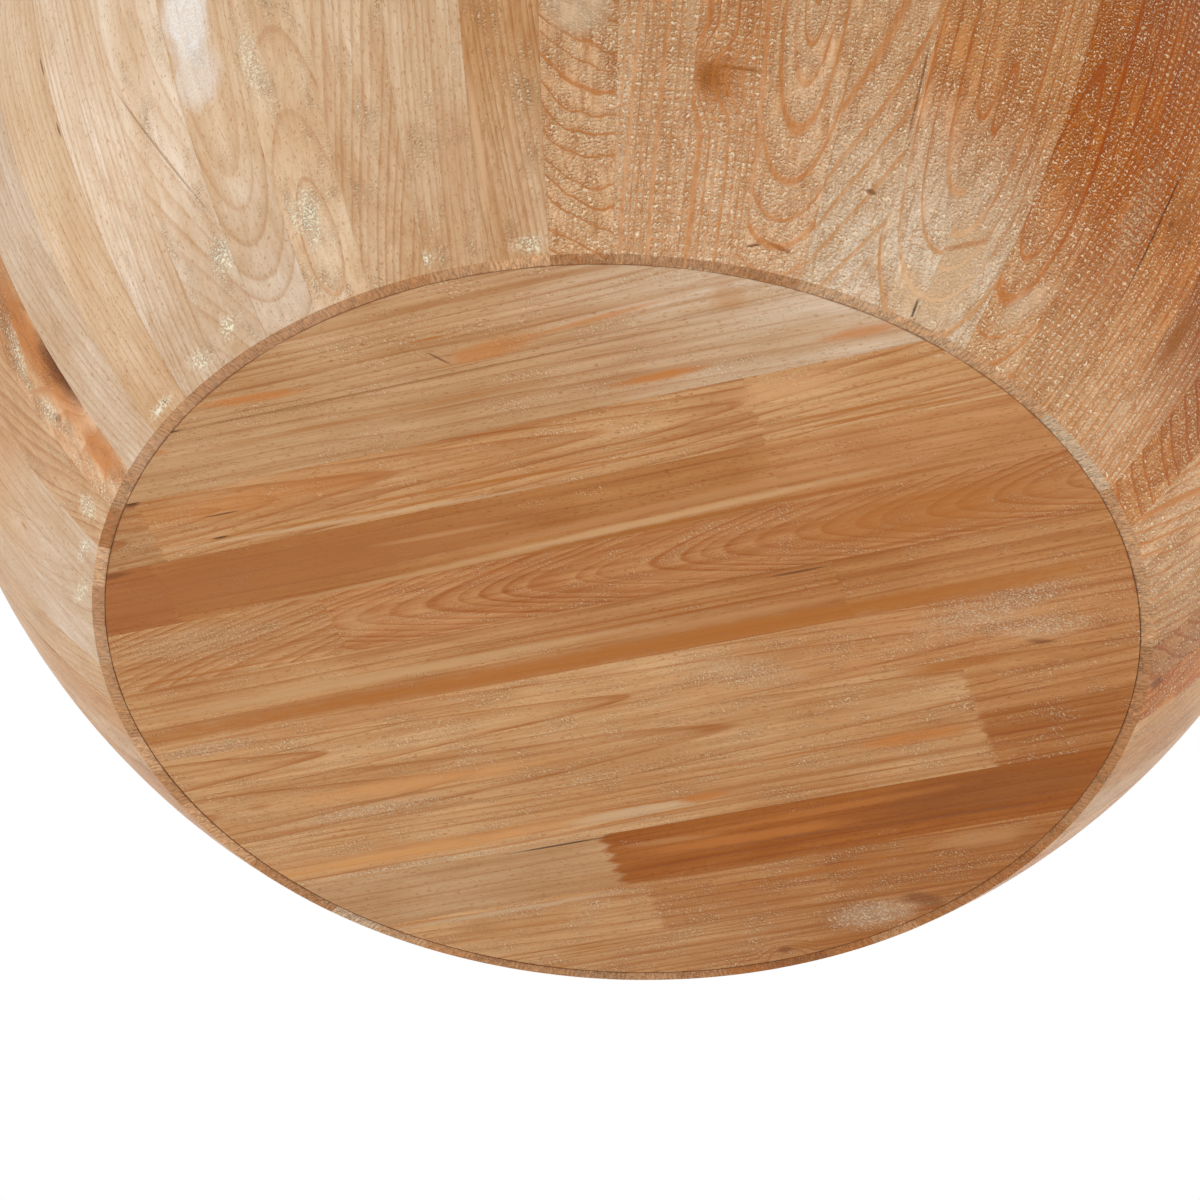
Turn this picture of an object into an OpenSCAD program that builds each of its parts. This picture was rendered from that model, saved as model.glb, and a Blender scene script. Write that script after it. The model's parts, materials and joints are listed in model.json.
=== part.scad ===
// Round coffee table: a drum of upright staves that swells towards the top,
// closed flush at each end by a panel of edge-glued boards.

/* [Table] */
// Height of the table
table_h = 350; // [300:5:420]
// Diameter at the widest point of the wall
belly_d = 800; // [700:10:900]
// Height of the widest point above the floor
belly_z = 322; // [260:2:350]
// Diameter of the foot, where the wall meets the floor
foot_d = 524; // [460:4:600]

/* [Wall of staves] */
// Thickness of a stave, square to its curved face
stave_t = 24; // [21:1:30]
// Angle at which the first stave starts, from the X axis
first_seam = -173.5; // [-180:0.5:180]
// Eased outer edge around the top of the wall
top_ease = 3; // [1:0.5:6]

/* [Base panel] */
// Thickness of the base boards
base_t = 20; // [14:1:24]
// Width of stave end left to see around the base panel
foot_ring_w = 6.5; // [4:0.5:10]
// Extra width of the first base board over the others
base_first_extra = 9; // [0:1:20]
// Angle of the base boards, from the X axis
base_turn = -19.7; // [-90:0.1:90]

/* [Top panel] */
// Thickness of the top boards
top_t = 22; // [16:1:28]
// Width of stave end left to see around the top panel
top_ring_w = 12; // [8:1:18]
// Angle of the top boards, from the X axis
top_turn = 0; // [-90:1:90]

/* [Battens under the top] */
// Width of a batten
batten_w = 50; // [36:1:70]
// Thickness of a batten
batten_t = 20; // [14:1:28]
// Distance between the middles of the two battens
batten_apart = 340; // [240:10:440]
// Space between a batten's corner and the wall
batten_end_gap = 10; // [4:1:30]

/* [Screws] */
// Diameter of a screw's shank
screw_d = 4; // [3:0.5:5]
// Diameter of a screw's head
screw_head_d = 8; // [7:0.5:10]
// Length of a screw
screw_l = 34; // [28:1:36]
// Space around a screw in its hole
screw_gap = 0.1; // [0.05:0.05:0.3]
// Least distance from a screw to the end of its batten
screw_end = 25; // [15:1:60]

/* [Hidden] */
// Widths of the staves in turn, in half stave widths: the wall mixes half, whole and wide staves
stave_units = [1, 2, 2, 3, 1, 1, 2, 1, 2, 2, 1, 3, 2, 1, 2, 2,
               2, 1, 2, 3, 2, 2, 1, 2, 3, 2, 1, 2, 2, 3, 2];
base_boards = 12;
top_boards = 14;

stave_count = len(stave_units);
function sum_to(n) = n == 0 ? 0 : sum_to(n - 1) + stave_units[n - 1];
unit_angle = 360 / sum_to(stave_count);

// The wall's outer face is an arc through the foot that stands upright at the belly.
swell = (belly_d - foot_d) / 2;
arc_r = (belly_z * belly_z + swell * swell) / (2 * swell);
arc_x = belly_d / 2 - arc_r;
function arc_at(r, z) = arc_x + sqrt(r * r - (z - belly_z) * (z - belly_z));
function outer_at(z) = arc_at(arc_r, z);
function inner_at(z) = arc_at(arc_r - stave_t, z);

base_r = foot_d / 2 - foot_ring_w;
base_board_w = (2 * base_r - base_first_extra) / base_boards;
top_r = outer_at(table_h) - top_ring_w;
top_board_w = 2 * top_r / top_boards;

batten_top_z = table_h - top_t;
batten_low_z = batten_top_z - batten_t;
batten_corner_x = (batten_apart + batten_w) / 2;
batten_corner_r = min(inner_at(batten_low_z), inner_at(batten_top_z)) - batten_end_gap;
batten_l = 2 * sqrt(batten_corner_r * batten_corner_r - batten_corner_x * batten_corner_x);

screw_head_h = screw_head_d / 3;
screw_tip_h = screw_d;

// Tones of the wood, from pale sapwood to reddish heartwood
sapwood = "#E3C6A0";
straw = "#D6AF82";
honey = "#C99A6A";
amber = "#B9824F";
heartwood = "#9C6338";
stave_tones = [honey, heartwood, sapwood, straw, honey, amber, straw, straw, amber, honey,
               sapwood, honey, amber, heartwood, honey, amber];
base_tones = [straw, honey, straw, honey, heartwood, honey, amber, straw, honey, straw,
              heartwood, straw];
top_tones = [honey, straw, amber, sapwood, honey, heartwood, straw];

function two(i) = str(i < 9 ? "0" : "", i + 1);
function stave_name(i) = str("stave_", two(i));
function base_name(i) = str("base_board_", two(i));
function top_name(i) = str("top_board_", two(i));

$fn = 180;

// Section of the wall: two arcs about one centre, cut level at both ends, with a rabbet for each panel
module stave_profile() {
    difference() {
        intersection() {
            translate([arc_x, belly_z]) circle(r = arc_r);
            square([belly_d / 2, table_h]);
        }
        translate([arc_x, belly_z]) circle(r = arc_r - stave_t);
        square([base_r, base_t]);
        translate([0, batten_top_z]) square([top_r, top_t]);
        translate([outer_at(table_h), table_h]) rotate(45) square(top_ease * sqrt(2), center = true);
    }
}

module stave(i) {
    color(stave_tones[i % len(stave_tones)])
        rotate(first_seam + sum_to(i) * unit_angle)
        rotate_extrude(angle = stave_units[i] * unit_angle) stave_profile();
}

// A board of a round panel: the part of the disc between two straight seams
module panel_board(r, t, low, high) {
    intersection() {
        cylinder(r = r, h = t);
        translate([-r, low, 0]) cube([2 * r, high - low, t]);
    }
}

module base_board(i) {
    far = base_r - (base_boards - 1 - i) * base_board_w;
    near = i == 0 ? -base_r : far - base_board_w;
    color(base_tones[i % len(base_tones)])
        rotate(base_turn) panel_board(base_r, base_t, near, far);
}

module top_board(i) {
    near = i * top_board_w - top_r;
    color(top_tones[i % len(top_tones)])
        rotate(top_turn) difference() {
            translate([0, 0, batten_top_z]) panel_board(top_r, top_t, near, near + top_board_w);
            screws(screw_gap, board = i);
        }
}

function board_middle(i) = (i + 0.5) * top_board_w - top_r;
function has_screw(i) = abs(board_middle(i)) < batten_l / 2 - screw_end;

// A countersunk screw driven upwards, or the hole for it where there is a gap around it
module screw(gap = 0) {
    r = screw_d / 2 + gap;
    body_h = screw_l - screw_tip_h;
    cylinder(r1 = screw_head_d / 2 + gap, r2 = r, h = screw_head_h);
    cylinder(r = r, h = body_h + gap);
    translate([0, 0, body_h + gap]) cylinder(r1 = r, r2 = screw_d / 8, h = screw_tip_h);
}

// One screw through each batten into each board that the battens reach, or into one board only
module screws(gap = 0, board = undef) {
    for (i = [0 : top_boards - 1])
        if (has_screw(i) && (board == undef || board == i))
            for (side = [-1, 1])
                translate([side * batten_apart / 2, board_middle(i), batten_low_z]) screw(gap);
}

module top_batten(side) {
    color(straw)
        rotate(top_turn) difference() {
            translate([side * batten_apart / 2 - batten_w / 2, -batten_l / 2, batten_low_z])
                cube([batten_w, batten_l, batten_t]);
            screws(screw_gap);
        }
}

module batten_screws() {
    color("silver") rotate(top_turn) screws();
}

for (i = [0 : stave_count - 1])
    stave(i);
for (i = [0 : base_boards - 1])
    base_board(i);
for (i = [0 : top_boards - 1])
    top_board(i);
top_batten(-1);  // top_batten_left
top_batten(1);  // top_batten_right
batten_screws();
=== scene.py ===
"""A round drum coffee table in solid softwood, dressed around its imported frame.

The wall is glued up from upright strips and turned to one bulging arc. A round panel of narrow boards
is let into the foot and a second one into the mouth. All lengths are in millimetres until a mesh is
made, and every piece stands where its CAD node stands.
"""
import json
import logging
import math
import random
from dataclasses import dataclass, field, replace
from enum import Enum
from functools import partial
from itertools import pairwise
from typing import Any, Callable, Sequence

import bpy
import numpy as np
from mathutils import Matrix, Vector, noise

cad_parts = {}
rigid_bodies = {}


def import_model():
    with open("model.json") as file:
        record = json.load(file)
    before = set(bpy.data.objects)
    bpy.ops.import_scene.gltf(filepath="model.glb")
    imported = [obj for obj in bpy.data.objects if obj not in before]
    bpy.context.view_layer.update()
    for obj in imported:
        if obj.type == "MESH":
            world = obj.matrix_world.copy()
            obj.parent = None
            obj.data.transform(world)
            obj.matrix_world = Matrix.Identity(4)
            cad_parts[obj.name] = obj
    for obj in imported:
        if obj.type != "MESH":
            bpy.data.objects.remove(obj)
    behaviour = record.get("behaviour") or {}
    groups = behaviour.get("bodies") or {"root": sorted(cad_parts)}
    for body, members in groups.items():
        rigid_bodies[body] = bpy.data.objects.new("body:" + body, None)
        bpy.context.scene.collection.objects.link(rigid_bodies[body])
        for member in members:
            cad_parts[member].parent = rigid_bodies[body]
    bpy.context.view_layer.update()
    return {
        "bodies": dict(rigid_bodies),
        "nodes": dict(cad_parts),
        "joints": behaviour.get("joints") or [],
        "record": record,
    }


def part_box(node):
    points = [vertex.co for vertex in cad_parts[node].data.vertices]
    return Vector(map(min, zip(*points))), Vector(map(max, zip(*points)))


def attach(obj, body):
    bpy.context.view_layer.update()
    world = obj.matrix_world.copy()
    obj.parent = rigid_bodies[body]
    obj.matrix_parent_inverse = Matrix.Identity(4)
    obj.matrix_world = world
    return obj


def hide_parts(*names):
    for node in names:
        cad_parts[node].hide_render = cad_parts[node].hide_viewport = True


LOG = logging.getLogger("drum_table")
MM = 0.001
Point = tuple[float, float]
Triple = tuple[float, float, float]
Colour = tuple[float, float, float, float]
Socket = bpy.types.NodeSocket
WHITE: Colour = (1, 1, 1, 1)


# ---- node and colour helpers


def linear(code: str) -> Colour:
    """Turns an sRGB hex colour into the linear colour that Blender's sockets take.

    Args:
        code: The colour as "#RRGGBB".

    Returns:
        Linear red, green and blue, and an alpha of 1.
    """
    parts = [int(code[i:i + 2], 16) / 255 for i in (1, 3, 5)]
    low, knee, gain, offset, power = 12.92, 0.04045, 1.055, 0.055, 2.4
    line = [p / low if p <= knee else ((p + offset) / gain) ** power for p in parts]
    return (line[0], line[1], line[2], 1.0)


# The setting that a node's mode goes to.
MODES: dict[str, str] = {"Math": "operation", "VectorMath": "operation", "Mix": "data_type",
                         "MapRange": "interpolation_type", "TexNoise": "noise_dimensions",
                         "TexWhiteNoise": "noise_dimensions", "Mapping": "vector_type"}


def add(tree: bpy.types.NodeTree, kind: str, *values: Any, **named: Any) -> Socket | None:
    """Adds a node with its settings, and fills or links its inputs.

    Args:
        tree: The node tree that gets the node.
        kind: The node's type without the leading "ShaderNode", and its mode after a space, if it has one.
        *values: A value or an output socket for each input that the mode leaves open, in order.
        **named: Settings, and inputs by name with underscores for spaces.

    Returns:
        The node's first open output, if it has any. Its node gives the others.
    """
    kind, _, mode = kind.partition(" ")
    node = tree.nodes.new(kind if kind.startswith("NodeGroup") else "ShaderNode" + kind)
    if mode:
        setattr(node, MODES[kind], mode)
    fills = list(zip((socket for socket in node.inputs if socket.enabled), values))
    for name, value in named.items():
        if hasattr(node, name):
            setattr(node, name, value)
        else:
            fills.append((node.inputs[name.replace("_", " ")], value))
    for socket, value in fills:
        if isinstance(value, Socket):
            tree.links.new(value, socket)
        else:
            socket.default_value = value
    return next((socket for socket in node.outputs if socket.enabled), None)


def emptied(owner: bpy.types.Material | bpy.types.World) -> bpy.types.NodeTree:
    """Empties the node tree of a new material or world.

    Args:
        owner: The material or world.

    Returns:
        Its node tree, with nothing in it.
    """
    owner.use_nodes = True
    owner.node_tree.nodes.clear()
    return owner.node_tree


def stretched(tree: bpy.types.NodeTree, place: Socket, grain_mm: Triple, detail: float = 2.0,
              rough: float = 0.5) -> Socket:
    """Adds a noise whose grains have a given size along each axis of the plank.

    Args:
        tree: The node tree.
        place: The place on the plank, in mm.
        grain_mm: The size of one grain across, along and into the plank.
        detail: Octaves of finer noise.
        rough: How strong the finer octaves are.

    Returns:
        The noise's value.
    """
    scaled = add(tree, "VectorMath MULTIPLY", place, [1 / g for g in grain_mm])
    return add(tree, "TexNoise", scaled, 1.0, detail, rough)


# ---- what a plank is


@dataclass(frozen=True)
class Grain:
    """How a plank was sawn from its log, in mm, in the plank's own frame.

    Attributes:
        pith: Where the log's centre lies, across the plank and out of its face.
        ring: Width of one year's ring.
        wobble: How far a ring wanders from its circle.
        seed: Picks this plank's own irregularities.
        taper: How much a ring grows per mm along the plank, which is what makes nested arches.
        lean: How far the pith drifts across per mm along the plank.
    """
    pith: Point
    ring: float
    wobble: float
    seed: float
    taper: float = 0.0
    lean: float = 0.0


class Shade(Enum):
    """Colours that the waxed wood shows, from pale sapwood to red heartwood, then end grain and marks, and
    one painted highlight.
    """
    PEARL = "#E8D1B7"
    SHELL = "#E8C29D"
    MILK = "#DDBF9E"
    LINEN = "#D3BAA0"
    BLUSH = "#E3B98F"
    BISCUIT = "#D0AE8A"
    CREAM = "#D9B087"
    OAT = "#CEA982"
    PEACH = "#DAA574"
    SAND = "#CB9E70"
    APRICOT = "#D3965D"
    STRAW = "#C39466"
    WHEAT = "#BF966D"
    HONEY = "#BF8959"
    FAWN = "#B68A60"
    CARAMEL = "#B88251"
    GINGER = "#CC8540"
    AMBER = "#C2793D"
    TOFFEE = "#AF7644"
    RUST = "#AE6A30"
    EMBER = "#C07226"
    NUTMEG = "#A5673A"
    CHESTNUT = "#A2602A"
    ASH = "#D4A276"
    CLAY = "#BA875D"
    BARK = "#AF7649"
    SOIL = "#7C4A2A"
    PITCH = "#4A2814"
    LIME = "#F3ECE4"
    PUTTY = "#F6EACD"

    @property
    def spring(self) -> Colour:
        """Gives the colour itself, which is that of the spring wood."""
        return linear(self.value)

    @property
    def summer(self) -> Colour:
        """Gives the summer wood that goes with it: darker, and redder because it holds more resin."""
        less_red, less_green, less_blue = 0.68, 0.44, 0.25
        red, green, blue, _ = self.spring
        return (red * less_red, green * less_green, blue * less_blue, 1.0)


(PEARL, SHELL, MILK, LINEN, BLUSH, BISCUIT, CREAM, OAT, PEACH, SAND, APRICOT, STRAW, WHEAT, HONEY, FAWN,
 CARAMEL, GINGER, AMBER, TOFFEE, RUST, EMBER, NUTMEG, CHESTNUT, ASH, CLAY, BARK, SOIL, PITCH, LIME,
 PUTTY) = Shade


@dataclass(frozen=True)
class Tone:
    """Colours and relief of one plank.

    Attributes:
        near: Spring wood where the plank starts.
        far: Spring wood further along.
        depth: How strongly the summer lines stand out, 1 being usual.
        fleck: How much of the plank shows torn bumps, with their painted highlights and painted shade, from 0
            to 1.
        rough: How deep the brushed relief is, as a share of the usual.
        chatter: How clearly the bumps stand in the planer's cross rows, from 0 to 1.
        end: Colour where the plank is cut across.
        fade: Where along the plank the near shade starts to change, and where the far one is reached.
    """
    near: Shade
    far: Shade
    depth: float
    fleck: float
    rough: float = 1.0
    chatter: float = 0.0
    end: Shade = CLAY
    fade: Point = (10.0, 110.0)


@dataclass(frozen=True)
class MarkStyle:
    """How a kind of mark looks.

    Attributes:
        edge: Width of its soft edge, as a share of its half size.
        ragged: How far its outline wanders, as a share of its half size.
        speckle: 0 where the mark is solid, 1 where it shows only as flecks.
        lift: Height of its relief in mm.
        push: How far it pushes the rings aside, in mm.
    """
    edge: float
    ragged: float
    speckle: float = 0.0
    lift: float = 0.0
    push: float = 0.0


class MarkKind(Enum):
    """What a mark on a plank is, and how it looks."""
    STAIN = MarkStyle(0.55, 0.9)
    BLEACH = MarkStyle(0.35, 0.7, 0.35, 0.05)
    SCUFF = MarkStyle(0.6, 1.0, 0.9, 0.2)
    FILLER = MarkStyle(0.8, 1.6, 0.92, 0.25)
    KNOT = MarkStyle(0.6, 0.6, 0.0, -0.3, 9.0)
    SPLIT = MarkStyle(0.5, 0.6, 0.0, -0.5)


@dataclass(frozen=True)
class Mark:
    """One mark on a plank.

    Attributes:
        kind: What it is.
        x: Its middle. In the tables of planks this is mm along a panel's board, or degrees round the drum.
        y: Its middle the other way: mm across the panel, or mm above the foot.
        wide: Half its width across the grain, in mm.
        long: Half its length along the grain, in mm.
        colour: Its colour.
        turn: Degrees that its length is turned from the grain, towards the plank's across axis.
        strength: How much it covers, from 0 to 1.
    """
    kind: MarkKind
    x: float
    y: float
    wide: float
    long: float
    colour: Shade
    turn: float = 0.0
    strength: float = 0.8


# One maker for each kind of mark. It takes the place, the half sizes, the colour, the turn and the strength.
stain, bleach_and_sheen, scuff, filler, knot, split = (partial(Mark, kind) for kind in MarkKind)


@dataclass(frozen=True)
class Splice:
    """A finger joint, past which the board is another length of wood.

    Attributes:
        at: Where along the board it is, in mm.
        shift: How far the grain pattern jumps there, in mm across, along and into the board.
        shade: Spring wood of the next length.
        tooth: Length of a finger, in mm.
        blur: How far, in mm, the tones run into each other there.
    """
    at: float
    shift: Triple
    shade: Shade
    tooth: float = 2.5
    blur: float = 2.2


@dataclass(frozen=True)
class Plank:
    """One strip or board: how it was sawn, its colours, its marks and how far its face lies back."""
    grain: Grain
    tone: Tone
    marks: tuple[Mark, ...] = ()
    splices: tuple[Splice, ...] = ()
    step: float = 0.0


@dataclass(frozen=True)
class PlankFrame:
    """Where a plank lies: its middle, and the directions across, along and out of its face."""
    origin: Vector
    across: Vector
    along: Vector

    def rows(self) -> Matrix:
        """Gives the matrix that turns a direction in the room into the plank's own."""
        return Matrix((self.across, self.along, self.across.cross(self.along)))

    def place(self, point: Vector) -> Vector:
        """Gives a point of the room, in mm, in the plank's own frame."""
        return self.rows() @ (point - self.origin)


# ---- finishes


@dataclass(frozen=True)
class BrushedSoftwood:
    """Solid fir or elm, wire-brushed and waxed.

    Brushing takes away the soft spring wood, so the summer lines stand up as fine ridges, and the thin
    wax lies satin over them: the eye gets warm rings, fibre streaks and a scatter of small glints, which
    are painted highlights beside painted shade. The size of a noise's grain is in mm across, along and
    into the plank.

    Attributes:
        wax_roughness: Roughness of the waxed spring wood, a little more than the summer lines have.
        wood_ior: Refraction of wood and wax, and wax_shine how much they mirror.
        fibre_mm: Size of a fibre, with streak_mm and band_mm for bundles of fibres and wide bands.
        pore_mm: Size of an open pore, and hatch_mm of the saw's hatching across the ends.
        pebble_mm: Size of a torn bump, and pebble_side_mm the way to its lit side.
        patch_mm: Size of a patch of bumps, and chatter_mm the distance between the planer's rows.
        swell_mm: Size of the slow and ripple_mm of the quick wandering of the rings.
        cloud_mm: Size of a honey cloud, and wander_mm of the unevenness in the outline of a mark.
        cloud_tints: What the colour is multiplied by outside and inside the clouds.
        sheen_tints: The same for dark and light fibres, silver_tint for bands, painted_shade_tint for the
            painted shade of bumps.
        painted_glint: Colour of the painted highlight on the lit side and the peaks of the bumps.
        line_mm: Width of a summer line, and shoulder_mm how far off the spring wood starts to darken.
        ridge_mm: Height of a summer line, and pebble_high_mm of a bump.
        finger_mm: Width of a finger in the joints.
    """
    wax_roughness: float = 0.38
    wood_ior: float = 1.45
    wax_shine: float = 0.1
    fibre_mm: Triple = (0.7, 15.0, 0.7)
    streak_mm: Triple = (2.2, 70.0, 2.2)
    band_mm: Triple = (5.5, 190.0, 5.5)
    pore_mm: Triple = (0.8, 3.6, 0.8)
    hatch_mm: Triple = (1.3, 30.0, 4.0)
    pebble_mm: Triple = (1.2, 1.2, 1.2)
    pebble_side_mm: Triple = (0.28, -0.36, 0.0)
    patch_mm: Triple = (11.0, 26.0, 11.0)
    chatter_mm: float = 4.0
    swell_mm: Triple = (34.0, 120.0, 34.0)
    ripple_mm: Triple = (8.0, 34.0, 8.0)
    cloud_mm: Triple = (22.0, 70.0, 22.0)
    wander_mm: Triple = (4.0, 13.0, 4.0)
    cloud_tints: tuple[Colour, Colour] = ((1.05, 1.07, 1.09, 1), (0.92, 0.84, 0.74, 1))
    sheen_tints: tuple[Colour, Colour] = ((0.93, 0.86, 0.8, 1), (1.06, 1.1, 1.14, 1))
    silver_tint: Colour = (1.07, 1.12, 1.2, 1)
    painted_shade_tint: Colour = (0.86, 0.66, 0.45, 1)
    painted_glint: str = "#F5E0BF"
    line_mm: float = 0.9
    shoulder_mm: float = 3.4
    ridge_mm: float = 0.22
    pebble_high_mm: float = 0.6
    finger_mm: float = 4.2

    def rings(self) -> bpy.types.NodeTree:
        """Makes the node group that saws a plank out of a log, or gives the one that is there.

        Returns:
            The group. Its Place is in mm in the plank's frame.
        """
        name = "sawn_softwood_rings"
        if name in bpy.data.node_groups:
            return bpy.data.node_groups[name]
        tree = bpy.data.node_groups.new(name, "ShaderNodeTree")
        given = {"Place": "Vector", "Pith": "Vector", "Taper": "Float", "Ring": "Float", "Wobble": "Float",
                 "Seed": "Float", "Push": "Float", "Early": "Color", "Late": "Color", "Depth": "Float",
                 "Fleck": "Float", "Rough": "Float", "Chatter": "Float"}
        results = {"Color": "Color", "Relief": "Float", "Gloss": "Float", "Speckle": "Float",
                   "Wander": "Vector"}
        for way, labels in (("INPUT", given), ("OUTPUT", results)):
            for label, kind in labels.items():
                tree.interface.new_socket(label, in_out=way, socket_type="NodeSocket" + kind)
        new, noisy = partial(add, tree), partial(stretched, tree)
        (place, pith, taper, ring, wobble, seed, push, spring, summer, depth, fleck, rough, chatter,
         *_) = new("NodeGroupInput").node.outputs
        seed = new("Math MULTIPLY", seed, 61.7)
        spot = new("VectorMath ADD", place, new("CombineXYZ", seed, seed, seed))
        x, y, z = new("SeparateXYZ", place).node.outputs
        pith_x, pith_z, lean = new("SeparateXYZ", pith).node.outputs
        sideways = new("Math SUBTRACT", x, new("Math MULTIPLY_ADD", y, lean, pith_x))
        flat = new("CombineXYZ", sideways, new("Math SUBTRACT", z, pith_z))
        radius = new("Math MULTIPLY_ADD", y, taper, new("VectorMath LENGTH", flat))
        slow = noisy(spot, self.swell_mm, 1.0)
        wave = new("Math MULTIPLY_ADD", noisy(spot, self.ripple_mm), 0.12, slow)
        wave = new("Math MULTIPLY", new("Math SUBTRACT", wave, 0.56), wobble)
        radius = new("Math ADD", radius, new("Math MULTIPLY_ADD", wave, 4.0, push))
        years = new("Math ADD", new("Math DIVIDE", radius, ring), seed)
        # good and lean years: the ring width itself varies by about half
        years = new("Math MULTIPLY_ADD", new("TexNoise 1D", years, 0.41, 1.0), 1.5, years)
        year, season = new("Math FLOOR", years), new("Math FRACT", years)
        mood = new("TexWhiteNoise 1D", year)
        # the summer line is about 1 mm wide and crisp on its outer side; the spring wood darkens towards it
        left = new("Math MULTIPLY", new("Math SUBTRACT", 1.0, season), ring)
        line = new("MapRange SMOOTHSTEP", left, self.line_mm * 1.6, self.line_mm * 0.4)
        tail = new("MapRange", new("Math MULTIPLY", season, ring), 0.35, 0, 0, 0.8)
        line = new("Math MAXIMUM", line, tail)
        # on planed boards the lines are paler and blend further into the spring wood than on brushed ones
        line = new("Math MULTIPLY", line, new("MapRange", rough, 0.5, 1, 0.72))
        blend = new("MapRange", rough, 0.5, 1, 0.54, 0.45)
        line = new("Math MAXIMUM", line, new("MapRange SMOOTHSTEP", left, self.shoulder_mm, 0, 0, blend))
        late = new("Math MULTIPLY", line, new("MapRange", mood, 0, 1, 0.6, 1))
        fibre = noisy(spot, self.fibre_mm, 3.0, 0.65)
        pore = noisy(spot, self.pore_mm, 1.0)
        blotch = noisy(spot, self.cloud_mm)
        coarse = noisy(spot, self.streak_mm, 2.0, 0.6)
        # lines: the summer wood's colour, broken up by the fibre, and thin streaks of it in between
        amount = new("Math MULTIPLY", late, new("MapRange", fibre, 0.3, 0.62, 0.75, 1.1))
        amount = new("Math ADD", amount, new("MapRange", coarse, 0.48, 0.72, 0, 0.45))
        amount = new("Math MULTIPLY", amount, depth, use_clamp=True)
        colour = new("Mix RGBA", amount, spring, summer)
        # slow honey-coloured clouds along the board
        honey = new("Mix RGBA", new("MapRange", blotch, 0.36, 0.68), *self.cloud_tints)
        colour = new("VectorMath MULTIPLY", colour, honey)
        # wide bands along the board, some silvery and some darker
        band = noisy(spot, self.band_mm, 2.0, 0.55)
        dim = new("Math MULTIPLY", new("MapRange", band, 0.46, 0.3, 0, 0.5), depth)
        colour = new("Mix RGBA", dim, colour, summer)
        silver = new("Mix RGBA", new("MapRange", band, 0.54, 0.7, 0, 0.9), WHITE, self.silver_tint)
        colour = new("VectorMath MULTIPLY", colour, silver)
        # fibre streaks, fine and coarse, lighten and darken by some 8 % each; the dark ones are redder, and
        # quiet planks, with weak summer lines, have weak streaks too
        sheen = new("Mix RGBA", new("MapRange", fibre, 0.25, 0.75), *self.sheen_tints)
        lively = new("MapRange", depth, 0.2, 0.9, 0.3)
        colour = new("VectorMath MULTIPLY", colour, new("Mix RGBA", lively, WHITE, sheen))
        gain = new("Math MULTIPLY_ADD", lively, 0.1, 1.0)
        colour = new("VectorMath SCALE", colour, new("MapRange", coarse, 0.28, 0.5, gain, 1))
        colour = new("Mix RGBA", new("MapRange", pore, 0.62, 0.7, 0, 0.65), colour, summer)
        # bumps where the brush tore the spring wood, in rows where the planer chattered; the real ones are
        # half as wide, and are drawn as coarse as they need to show
        speck = noisy(spot, self.pebble_mm, 2.0, 0.6)
        aside = noisy(new("VectorMath ADD", spot, self.pebble_side_mm), self.pebble_mm, 2.0, 0.6)
        patchy = noisy(spot, self.patch_mm)
        beat = new("SeparateXYZ", spot).node.outputs[1]
        beat = new("Math SINE", new("Math MULTIPLY_ADD", beat, math.tau / self.chatter_mm, patchy))
        lifted = new("Math MULTIPLY_ADD", new("Math MULTIPLY", beat, chatter), 0.04, speck)
        pebble = new("MapRange SMOOTHSTEP", lifted, 0.38, 0.64)
        crumb = new("MapRange", lifted, 0.47, 0.56)
        soft = new("MapRange", late, 0.25, 0.6, 1, 0.15)
        torn = new("MapRange SMOOTHSTEP", new("Math MULTIPLY_ADD", patchy, 1.6, fleck), 1.05, 1.6)
        torn = new("Math MULTIPLY", new("Math MULTIPLY", torn, soft), rough)
        # painted light on the bumps: one side of each bump is painted pale as a highlight and the other
        # painted darker as shade, as one light from the side would give; the peaks get painted glints too
        side = new("Math SUBTRACT", lifted, aside)
        painted_shade_mask = new("Math MULTIPLY", new("MapRange", side, -0.02, -0.13), torn)
        colour = new("VectorMath MULTIPLY", colour, new("Mix RGBA", painted_shade_mask, WHITE, self.painted_shade_tint))
        shine = new("MapRange", side, 0.07, 0.18, 0, 0.7)
        shine = new("Math MAXIMUM", shine, new("MapRange", lifted, 0.585, 0.66))
        shine = new("Math MULTIPLY", shine, torn)
        colour = new("Mix RGBA", shine, colour, new("Mix RGBA", 0.85, spring, linear(self.painted_glint)))
        # relief in mm: ridges, fibre furrows and torn bumps
        relief = new("Math MULTIPLY_ADD", fibre, 0.12, new("Math MULTIPLY", late, self.ridge_mm))
        dents = new("Math MULTIPLY", pebble, self.pebble_high_mm)
        dents = new("Math MULTIPLY", dents, new("Math ADD", torn, 0.1))
        relief = new("Math MULTIPLY_ADD", dents, rough, relief)
        gloss = new("MapRange", late, 0, 1, self.wax_roughness, self.wax_roughness - 0.08)
        wander = noisy(spot, self.wander_mm, 3.0, 0.6).node.outputs["Color"]
        wander = new("VectorMath SUBTRACT", wander, (0.5, 0.5, 0.5))
        new("NodeGroupOutput", colour, relief, gloss, crumb, wander)
        return tree

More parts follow.
